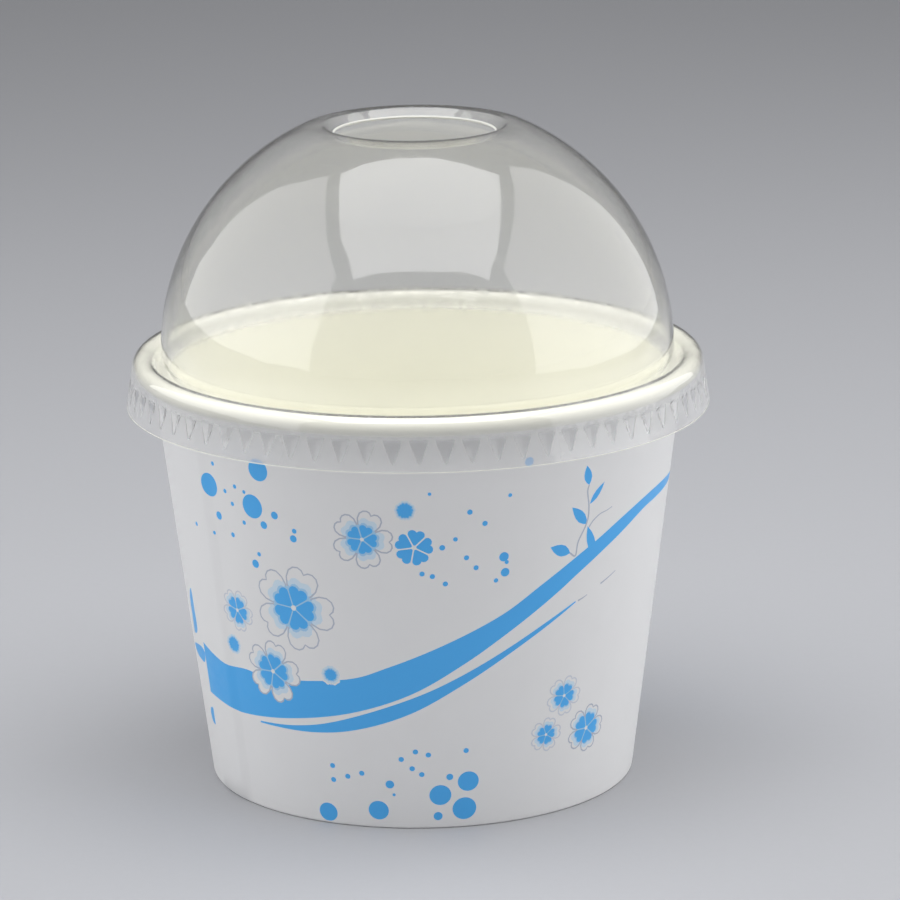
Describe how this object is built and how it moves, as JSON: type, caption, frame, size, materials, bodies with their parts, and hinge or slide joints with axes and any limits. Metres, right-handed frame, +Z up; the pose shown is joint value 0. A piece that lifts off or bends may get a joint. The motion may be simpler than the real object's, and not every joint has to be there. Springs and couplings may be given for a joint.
{
  "type": "paper dessert cup with dome lid",
  "caption": "Round tapered paper dessert cup with a rolled rim, lapped side seam and recessed base, under a clear domed lid with a ribbed skirt and an open hole at the top.",
  "frame": {"origin": "centre of the foot, on the surface the cup stands on", "axes": "+Z up along the cup's axis, -Y towards the front of the print"},
  "size_m": [0.101, 0.101, 0.1146],
  "materials": {
    "cup_board": "coated board, satin outside and cream inside, printed in blue",
    "base_board": "coated board, satin",
    "clear_film": "clear thermoformed film"
  },
  "bodies": {
    "cup": {"sidewall": "cup_board", "base_disc": "base_board"},
    "lid": {"dome_lid": "clear_film"}
  },
  "joints": [
    {"name": "lid_lift", "type": "slide", "parent": "cup", "child": "lid", "axis": [0, 0, 1], "range_m": [0, 0.03]}
  ]
}
